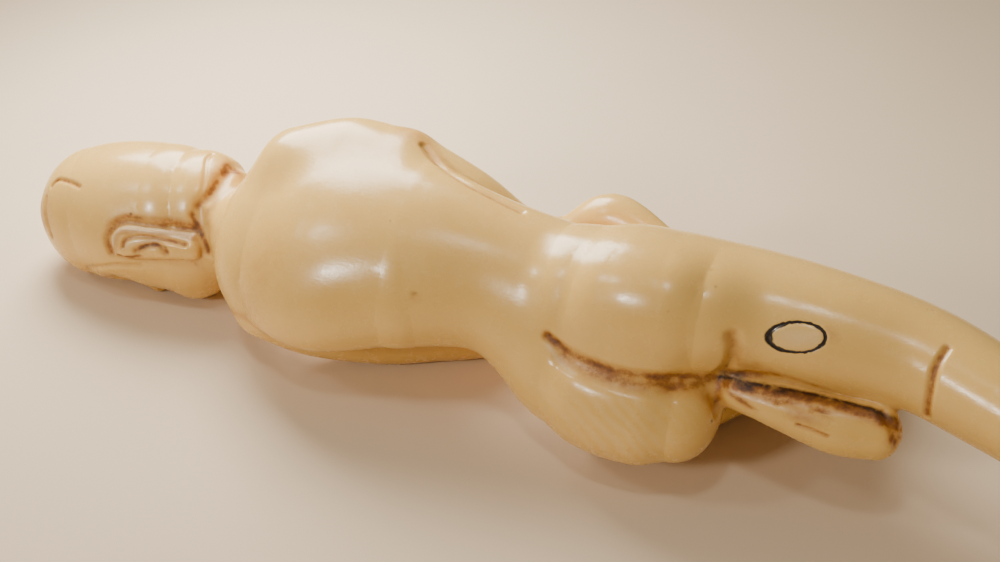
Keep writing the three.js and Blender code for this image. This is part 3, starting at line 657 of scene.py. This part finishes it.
def carved_part(p):
    """The body's field with its hollows and grooves."""
    field = body_part(p)
    near = np.nonzero(field < CUT_BELOW)[0]
    if not len(near):
        return field
    close = p[near]
    lowest, highest = close.min(0), close.max(0)
    change = np.zeros(len(near))
    for place, width, depth in HOLLOWS:
        change += depth * np.exp(-((close - place) ** 2).sum(1) / width**2)
    for groove in CARVED:
        if (highest > groove["low"]).all() and (lowest < groove["high"]).all():
            change += groove["depth"] * fading(groove, close)
    field[near] += change
    return field


def carved(p):
    return in_batches(carved_part, p)


def surface_mesh():
    """The carved figure's surface as vertices and quads, from a fine grid near the surface."""
    start = np.min([shape["low"] for shape in FORMS], axis=0) - MARGIN
    end = np.max([shape["high"] for shape in FORMS], axis=0) + MARGIN
    big = CELL * COARSE
    count = np.ceil((end - start) / big).astype(int)
    blocks = np.stack(np.meshgrid(*[np.arange(n) for n in count], indexing="ij"), -1).reshape(-1, 3)
    middles = start + (blocks + 0.5) * big
    rough = body(middles)
    # The surface lies in a block only if it passes near the block's middle, or deeper where it is cut.
    cut = np.zeros(len(middles))
    for groove in CARVED:
        held = ((middles > groove["low"] - big) & (middles < groove["high"] + big)).all(1)
        cut[held] = np.maximum(cut[held], groove["depth"])
    for place, width, depth in HOLLOWS:
        held = np.linalg.norm(middles - place, axis=1) < REACH * width + big
        cut[held] = np.maximum(cut[held], depth)
    near = (rough < BLOCKS_OUTWARD * big) & (rough > -BLOCKS_INWARD * big - CUTS_INWARD * cut)
    near = near.reshape(count)
    rough = rough.reshape(count)
    size = count * COARSE + 1
    value = np.full(size, FAR, np.float32)
    spread = np.where(rough < 0, -FAR, FAR).astype(np.float32)
    for axis in range(3):
        spread = np.repeat(spread, COARSE, axis)
    value[:-1, :-1, :-1] = spread
    for axis in range(3):
        near = np.repeat(near, COARSE, axis)
    nodes = np.argwhere(near)
    value[tuple(nodes.T)] = carved(start + nodes * CELL)

    inside = value < 0
    total = np.zeros(size - 1, np.int8)
    corners = [(a, b, c) for a in (0, 1) for b in (0, 1) for c in (0, 1)]
    for a, b, c in corners:
        total += inside[a : size[0] - 1 + a, b : size[1] - 1 + b, c : size[2] - 1 + c]
    cells = np.argwhere((total > 0) & (total < 8))
    place = np.zeros((len(cells), 3))
    crossings = np.zeros(len(cells))
    for corner in corners:
        for axis in range(3):
            if corner[axis]:
                continue
            far = list(corner)
            far[axis] = 1
            first = value[tuple((cells + corner).T)]
            second = value[tuple((cells + far).T)]
            crossed = (first < 0) != (second < 0)
            t = np.where(crossed, first / np.where(crossed, first - second, 1), 0)
            at = cells + np.array(corner, float)
            at[:, axis] += t
            place[crossed] += at[crossed]
            crossings += crossed
    place = start + place / crossings[:, None] * CELL
    number = np.full(size, -1, np.int32)
    number[tuple(cells.T)] = np.arange(len(cells))

    rings = (
        ((0, -1, -1), (0, 0, -1), (0, 0, 0), (0, -1, 0)),
        ((-1, 0, -1), (-1, 0, 0), (0, 0, 0), (0, 0, -1)),
        ((-1, -1, 0), (0, -1, 0), (0, 0, 0), (-1, 0, 0)),
    )
    quads = []
    for axis, ring in enumerate(rings):
        ahead = [slice(None)] * 3
        ahead[axis] = slice(1, None)
        behind = [slice(None)] * 3
        behind[axis] = slice(0, -1)
        edges = np.argwhere(inside[tuple(behind)] != inside[tuple(ahead)])
        quad = np.stack([number[tuple((edges + np.array(step)).T)] for step in ring], 1)
        leaving = inside[tuple(edges.T)]
        quads.append(np.where(leaving[:, None], quad, quad[:, ::-1]))
    return place, np.concatenate(quads)


def mesh_from(name, points, faces):
    """A mesh of quads or triangles from arrays."""
    mesh = bpy.data.meshes.new(name)
    corners = faces.shape[1]
    mesh.vertices.add(len(points))
    mesh.vertices.foreach_set("co", np.asarray(points, np.float32).ravel())
    mesh.loops.add(faces.size)
    mesh.loops.foreach_set("vertex_index", faces.astype(np.int32).ravel())
    mesh.polygons.add(len(faces))
    mesh.polygons.foreach_set("loop_start", np.arange(0, faces.size, corners, dtype=np.int32))
    mesh.update(calc_edges=True)
    mesh.validate()
    return mesh


def with_fewer_faces(points, quads):
    """The same surface with at most MOST_TRIANGLES, by merging its least telling edges."""
    rough = bpy.data.objects.new("rough", mesh_from("rough", points, quads))
    bpy.context.scene.collection.objects.link(rough)
    fewer = rough.modifiers.new("fewer", "DECIMATE")
    fewer.ratio = min(1.0, MOST_TRIANGLES / (2 * len(quads)))
    fewer.use_collapse_triangulate = True
    depsgraph = bpy.context.evaluated_depsgraph_get()
    mesh = bpy.data.meshes.new_from_object(rough.evaluated_get(depsgraph))
    bpy.data.objects.remove(rough)
    return mesh


def set_attribute(mesh, name, values):
    attribute = mesh.attributes.new(name, "FLOAT", "POINT")
    attribute.data.foreach_set("value", np.asarray(values, np.float32))


def paint(mesh, p):
    """Stores where the stain marks, painted shade, painted highlights, pores and grain are."""
    masks = {"brown": np.zeros(len(p)), "dark": np.zeros(len(p)), "pale": np.zeros(len(p))}
    strokes_of_stain_and_light = STAINS_AND_PAINTED_LIGHT + [("brown", brown, 1.2 * width, path) for width, _, brown, path in GROOVES if brown]
    for kind, strength, width, path in strokes_of_stain_and_light:
        masks[kind] = np.maximum(masks[kind], strength * fading(stroke(width, path, carved_part), p))
    for width, place in PITS:
        spot = np.exp(-((p - drawn_to_surface(body_part, np.array([place]))) ** 2).sum(1) / width**2)
        masks["dark"] = np.maximum(masks["dark"], spot)
    creases = np.zeros(len(p))
    body_part(p, creases)
    masks["brown"] = np.maximum(masks["brown"], 0.4 * creases)
    for name, values in masks.items():
        set_attribute(mesh, name, values)
    speckled = np.zeros(len(p))
    for strength, width, place in SPECKLED:
        speckled = np.maximum(speckled, strength * np.exp(-((p - place) ** 2).sum(1) / width**2))
    set_attribute(mesh, "speckled", speckled)
    strength, width, place = GRAINED
    set_attribute(mesh, "grained", strength * np.exp(-((p - place) ** 2).sum(1) / width**2))


def figure_mesh():
    points, quads = surface_mesh()
    points = drawn_to_surface(carved, points, steps=2)
    mesh = with_fewer_faces(points, quads)
    p = np.zeros(len(mesh.vertices) * 3)
    mesh.vertices.foreach_get("co", p)
    p = drawn_to_surface(carved, p.reshape(-1, 3), steps=1)
    paint(mesh, p)
    normals = on_row(p + value_and_slope(carved, p)[1]) - on_row(p)
    normals /= np.maximum(np.linalg.norm(normals, axis=1), TINY)[:, None]
    row = on_row(p)
    resting_on_floor = row[:, 2] < 0
    row[resting_on_floor, 2] = 0
    normals[resting_on_floor] = (0, 0, -1)
    mesh.vertices.foreach_set("co", row.astype(np.float32).ravel())
    mesh.update()
    mesh.polygons.foreach_set("use_smooth", np.ones(len(mesh.polygons), bool))
    mesh.normals_split_custom_set_from_vertices(normals.tolist())
    return mesh


class Nodes:
    """Adds nodes to a material and joins them."""

    def __init__(self, material):
        material.use_nodes = True
        self.tree = material.node_tree
        self.shader = self.tree.nodes["Principled BSDF"]

    def link(self, value, socket):
        if isinstance(value, bpy.types.NodeSocket):
            self.tree.links.new(value, socket)
        else:
            socket.default_value = value

    def add(self, kind, inputs, output=0, **settings):
        made = self.tree.nodes.new(kind)
        for key, value in settings.items():
            setattr(made, key, value)
        for key, value in inputs.items():
            self.link(value, made.inputs[key])
        return made.outputs[output]

    def attribute(self, name):
        return self.add("ShaderNodeAttribute", {}, "Fac", attribute_name=name)

    def noise(self, scale, detail=2.0, roughness=0.5, distortion=0.0, vector=None):
        inputs = {"Scale": scale, "Detail": detail, "Roughness": roughness, "Distortion": distortion}
        inputs["Vector"] = vector or self.place
        return self.add("ShaderNodeTexNoise", inputs, "Fac")

    def spread(self, value, low_in, high_in, low_out=0.0, high_out=1.0):
        inputs = {
            "Value": value,
            "From Min": low_in,
            "From Max": high_in,
            "To Min": low_out,
            "To Max": high_out,
        }
        return self.add("ShaderNodeMapRange", inputs, "Result")

    def math(self, operation, first, second=0.0):
        return self.add("ShaderNodeMath", {0: first, 1: second}, operation=operation)

    def mix(self, share, first, second):
        made = self.tree.nodes.new("ShaderNodeMix")
        made.data_type = "RGBA"
        self.link(share, made.inputs["Factor"])
        self.link(first, made.inputs[6])
        self.link(second, made.inputs[7])
        return made.outputs[2]


def ivory():
    material = bpy.data.materials.new("ivory")
    n = Nodes(material)
    n.place = n.add("ShaderNodeTexCoord", {}, "Object")
    cream = (0.80, 0.51, 0.145, 1)
    tan = (0.62, 0.345, 0.075, 1)
    pale = (0.84, 0.66, 0.40, 1)
    orange = (0.42, 0.15, 0.014, 1)
    brown = (0.10, 0.026, 0.005, 1)
    umber = (0.04, 0.014, 0.006, 1)
    ink = (0.022, 0.014, 0.012, 1)

    clouds = n.spread(n.noise(55, 3, 0.55), 0.38, 0.72)
    mottle = n.spread(n.noise(260, 4, 0.6), 0.45, 0.75)
    colour = n.mix(n.math("MULTIPLY", clouds, 0.34), cream, tan)
    colour = n.mix(n.math("MULTIPLY", mottle, 0.12), colour, tan)

    # Growth lines, a little wavy, on the left buttock.
    lines = n.add(
        "ShaderNodeTexWave",
        {"Vector": n.place, "Scale": 260.0, "Distortion": 5.0, "Detail": 2.0, "Detail Scale": 0.9},
        "Fac",
        wave_type="BANDS",
        bands_direction="DIAGONAL",
    )
    grain = n.math("MULTIPLY", n.math("MULTIPLY", lines, n.attribute("grained")), 0.22)
    colour = n.mix(grain, colour, pale)

    # Stain marks, painted shade and painted highlights; the brown and the dark ones are broken up by noise.
    ragged = n.spread(n.noise(900, 4, 0.65), 0.3, 0.7, 0.55, 1.25)
    soft = n.spread(n.noise(260, 3, 0.6), 0.3, 0.7, 0.65, 1.2)
    colour = n.mix(n.math("MULTIPLY", n.attribute("pale"), 0.8), colour, pale)
    broken = n.math("MULTIPLY", ragged, soft)
    stain_and_shade = n.math("MULTIPLY", n.attribute("brown"), broken)
    brown_share = n.spread(stain_and_shade, 0.04, 0.7, 0.0, 0.92)
    colour = n.mix(brown_share, colour, orange)
    colour = n.mix(n.spread(stain_and_shade, 0.5, 1.1, 0.0, 0.85), colour, brown)
    colour = n.mix(n.spread(n.math("MULTIPLY", n.attribute("dark"), broken), 0.12, 0.85), colour, umber)

    # Pores: small dark specks, closer together where the ivory is worn.
    pores = n.add("ShaderNodeTexVoronoi", {"Vector": n.place, "Scale": 900.0}, "Distance")
    scarce = n.noise(420, 1)
    worn = n.spread(n.attribute("speckled"), 0.05, 1.0, 0.0, 0.3)
    speck = n.math("MULTIPLY", n.spread(pores, 0.3, 0.14), n.spread(n.math("ADD", scarce, worn), 0.74, 0.80))
    colour = n.mix(n.math("MULTIPLY", speck, 0.75), colour, brown)

    # The ink in the ring: how far a place is from an ellipse, with a ragged edge.
    ring = on_row([RING_MIDDLE, RING_MIDDLE + RING_LONG, RING_MIDDLE + RING_SHORT])
    middle, tip, top = (Vector(place) for place in ring)
    long_axis, short_axis = tip - middle, top - middle
    flat = long_axis.cross(short_axis).normalized() * short_axis.length
    to_ring = Matrix((long_axis, short_axis, flat)).transposed().to_4x4()
    to_ring.translation = middle
    inverse = to_ring.inverted()
    wobble = n.add("ShaderNodeTexNoise", {"Vector": n.place, "Scale": 1300.0, "Detail": 2.0}, "Color")
    moved = n.add("ShaderNodeVectorMath", {0: wobble, 1: (-0.5, -0.5, -0.5)}, operation="ADD")
    moved = n.add("ShaderNodeVectorMath", {0: moved, "Scale": 0.0004}, operation="SCALE")
    moved = n.add("ShaderNodeVectorMath", {0: moved, 1: n.place}, operation="ADD")
    off_axis = []
    for row in inverse[:3]:
        dot = n.add("ShaderNodeVectorMath", {0: moved, 1: tuple(row[:3])}, "Value", operation="DOT_PRODUCT")
        off_axis.append(n.math("ADD", dot, row[3]))
    long_share, short_share, off_flat = off_axis
    off_flat = n.math("ABSOLUTE", off_flat)
    apart = n.math("ADD", n.math("POWER", long_share, 2.0), n.math("POWER", short_share, 2.0))
    apart = n.math("SQRT", apart)
    # The line is broader at the left end, where the ink has run.
    half_width = n.spread(long_share, -1.0, 0.2, 0.15, 0.085)
    off_line = n.math("DIVIDE", n.math("ABSOLUTE", n.math("SUBTRACT", apart, 1.0)), half_width)
    inked = n.math("MULTIPLY", n.spread(off_line, 1.15, 0.75), n.spread(off_flat, 1.4, 1.0))
    colour = n.mix(inked, colour, ink)

    n.link(colour, n.shader.inputs["Base Color"])
    roughness = n.spread(n.noise(500, 5, 0.7), 0.3, 0.7, 0.17, 0.32)
    roughness = n.math("ADD", roughness, n.math("MULTIPLY", brown_share, 0.3))
    n.link(roughness, n.shader.inputs["Roughness"])
    n.shader.inputs["IOR"].default_value = 1.54
    n.shader.inputs["Subsurface Weight"].default_value = 0.25
    n.shader.inputs["Subsurface Radius"].default_value = (1.0, 0.55, 0.25)
    n.shader.inputs["Subsurface Scale"].default_value = 0.0009
    # Wear: fine pits and hairline scratches.
    pitted = n.noise(2600, 3, 0.7)
    stretched = n.add(
        "ShaderNodeMapping",
        {"Vector": n.place, "Scale": (0.35, 1.0, 1.0), "Rotation": (0.0, 0.5, 0.9)},
    )
    scratched = n.noise(2400, 2, 0.5, vector=stretched)
    height = n.math("ADD", n.math("MULTIPLY", pitted, 0.6), n.math("MULTIPLY", scratched, 0.7))
    height = n.math("SUBTRACT", height, n.math("MULTIPLY", speck, 0.8))
    bump = n.add("ShaderNodeBump", {"Height": height, "Strength": 0.35, "Distance": 0.00004}, "Normal")
    n.link(bump, n.shader.inputs["Normal"])
    return material


figure = bpy.data.objects.new("ivory_figure", figure_mesh())
bpy.context.scene.collection.objects.link(figure)
figure.data.materials.clear()
figure.data.materials.append(ivory())
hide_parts("figure")
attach(figure, "root")

# The floor.
length = high.x - low.x
bpy.ops.mesh.primitive_plane_add(size=14 * length, location=(0, 0, 0))
floor = bpy.context.object
floor.name = "floor"
floor_material = bpy.data.materials.new("floor")
paper = Nodes(floor_material)
paper.place = paper.add("ShaderNodeTexCoord", {}, "Object")
warm = paper.mix(paper.spread(paper.noise(14, 3), 0.3, 0.7), (0.70, 0.56, 0.395, 1), (0.74, 0.595, 0.425, 1))
paper.link(warm, paper.shader.inputs["Base Color"])
paper.shader.inputs["Roughness"].default_value = 0.85
floor.data.materials.append(floor_material)


def area_light(name, azimuth, elevation, distance, size, power, colour):
    """A square light that faces the figure, from a direction in degrees."""
    turn, rise = math.radians(azimuth), math.radians(elevation)
    away = Vector((math.cos(turn) * math.cos(rise), math.sin(turn) * math.cos(rise), math.sin(rise)))
    lamp = bpy.data.lights.new(name, "AREA")
    lamp.size = size * length
    lamp.energy = power
    lamp.color = colour
    light = bpy.data.objects.new(name, lamp)
    light.location = away * distance * length
    light.rotation_euler = away.to_track_quat("Z", "Y").to_euler()
    bpy.context.scene.collection.objects.link(light)


area_light("window", 150, 42, 0.85, 0.45, 0.44, (1.0, 0.95, 0.86))
area_light("lamp by the back", -118, 32, 3.0, 0.35, 0.9, (1.0, 0.93, 0.83))
area_light("lamp over the thigh", -97, 70, 3.0, 0.25, 0.3, (1.0, 0.96, 0.9))
area_light("lamp by the head", -148, 46, 3.0, 0.3, 0.25, (1.0, 0.96, 0.9))

world = bpy.data.worlds.new("room")
bpy.context.scene.world = world
world.use_nodes = True
world.node_tree.nodes["Background"].inputs["Color"].default_value = (1.0, 0.86, 0.66, 1)
world.node_tree.nodes["Background"].inputs["Strength"].default_value = 0.24

# The camera stands above and behind her, on her feet's side, as in the photo. It is placed for LENGTH_MM.
LENGTH_MM = 170
CAMERA_PLACE = (41.8, -139.8, 132.0)
CAMERA_TURN = 22
CAMERA_DOWN = 38
SENSOR_WIDTH = 36
LENS = 53.8
camera_data = bpy.data.cameras.new("camera")
camera_data.sensor_width = SENSOR_WIDTH
camera_data.lens = LENS
camera_data.clip_start = 0.01
camera = bpy.data.objects.new("camera", camera_data)
camera.location = Vector(CAMERA_PLACE) * length / LENGTH_MM
camera.rotation_euler = (math.radians(90 - CAMERA_DOWN), 0, math.radians(CAMERA_TURN))
bpy.context.scene.collection.objects.link(camera)
bpy.context.scene.camera = camera
